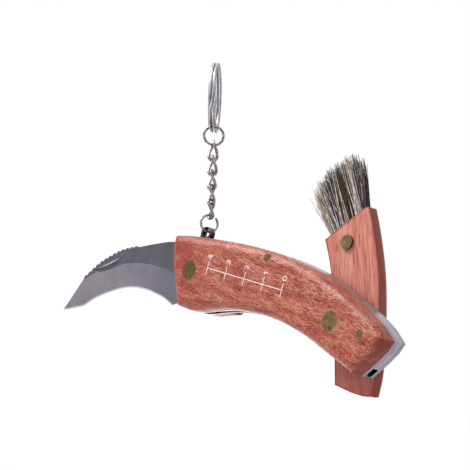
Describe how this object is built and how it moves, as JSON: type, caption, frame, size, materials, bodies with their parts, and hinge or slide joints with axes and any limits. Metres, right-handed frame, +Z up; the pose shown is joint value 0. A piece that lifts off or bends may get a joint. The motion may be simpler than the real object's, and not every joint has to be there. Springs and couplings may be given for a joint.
{
  "type": "folding mushroom knife",
  "caption": "Folding mushroom knife with a hooked, toothed blade, a wooden handle, a swing-out bristle brush and a short chain with a split ring.",
  "frame": {"origin": "middle of the base of the part's box, blade open, brush half swung out, chain upright", "axes": "+X from the blade's point towards the handle's butt, +Y from the front scale towards the brush side, +Z up along the chain"},
  "size_m": [0.1728, 0.0212, 0.1359],
  "materials": {
    "handle_wood": "oiled reddish hardwood with short dark pores",
    "arm_wood": "oiled reddish hardwood, straight grain",
    "liner_steel": "satin",
    "spring_steel": "satin",
    "blade_steel": "finely ground",
    "pin_brass": "sanded flush, dull",
    "chain_nickel": "nickel plated",
    "ring_nickel": "bright nickel plated",
    "bristle_hair": "natural bristle"
  },
  "bodies": {
    "handle": {"front_scale": "handle_wood", "back_block": "handle_wood", "front_liner": "liner_steel", "back_liner": "liner_steel", "back_spring": "spring_steel", "blade_pivot_pin": "pin_brass", "spring_pin": "pin_brass", "butt_pin": "pin_brass", "brush_pivot_pin": "pin_brass", "brush_washer": "liner_steel"},
    "blade": {"blade": "blade_steel"},
    "brush": {"brush_arm": "arm_wood", "bristle_rivet": "pin_brass", "bristle_tuft_1": "bristle_hair", "bristle_tuft_2": "bristle_hair", "bristle_tuft_3": "bristle_hair", "bristle_tuft_4": "bristle_hair"},
    "lower_ring": {"lower_jump_ring": "chain_nickel"},
    "link_1": {"chain_link_1": "chain_nickel"},
    "link_2": {"chain_link_2": "chain_nickel"},
    "link_3": {"chain_link_3": "chain_nickel"},
    "link_4": {"chain_link_4": "chain_nickel"},
    "link_5": {"chain_link_5": "chain_nickel"},
    "upper_ring": {"upper_jump_ring": "chain_nickel"},
    "split_ring": {"split_ring": "ring_nickel"}
  },
  "joints": [
    {"name": "blade_fold", "type": "hinge", "parent": "handle", "child": "blade", "pos_m": [-0.00523, 0, 0.05554], "axis": [0, 1, 0], "range_deg": [-154, 0]},
    {"name": "brush_swing", "type": "hinge", "parent": "handle", "child": "brush", "pos_m": [0.06327, 0, 0.02439], "axis": [0, 1, 0], "range_deg": [-53, 127]},
    {"name": "lower_ring_swing", "type": "hinge", "parent": "handle", "child": "lower_ring", "pos_m": [-0.0047, -0.00046, 0.07101], "axis": [0, 1, 0], "range_deg": [-50, 50]},
    {"name": "link_1_swing", "type": "hinge", "parent": "lower_ring", "child": "link_1", "pos_m": [-0.00422, -0.00025, 0.07783], "axis": [0.4994, 0.866, -0.0253], "range_deg": [-35, 35]},
    {"name": "link_2_swing", "type": "hinge", "parent": "link_1", "child": "link_2", "pos_m": [-0.00372, 0.0001, 0.08379], "axis": [-0.0697, -0.9976, 0.0035], "range_deg": [-35, 35]},
    {"name": "link_3_swing", "type": "hinge", "parent": "link_2", "child": "link_3", "pos_m": [-0.00344, 0.0001, 0.08928], "axis": [0.182, -0.9833, -0.0092], "range_deg": [-35, 35]},
    {"name": "link_4_swing", "type": "hinge", "parent": "link_3", "child": "link_4", "pos_m": [-0.00317, 0.0001, 0.09477], "axis": [0.4221, -0.9063, -0.0214], "range_deg": [-35, 35]},
    {"name": "link_5_swing", "type": "hinge", "parent": "link_4", "child": "link_5", "pos_m": [-0.00289, 0.0001, 0.10027], "axis": [0.6353, -0.7716, -0.0322], "range_deg": [-35, 35]},
    {"name": "upper_ring_swing", "type": "hinge", "parent": "link_5", "child": "upper_ring", "pos_m": [-0.00261, 0.0001, 0.10576], "axis": [0.808, -0.5878, -0.0409], "range_deg": [-35, 35]},
    {"name": "split_ring_swing", "type": "hinge", "parent": "upper_ring", "child": "split_ring", "pos_m": [-0.0023, 0.0001, 0.11182], "axis": [0.587, 0.809, -0.0297], "range_deg": [-60, 60]}
  ]
}
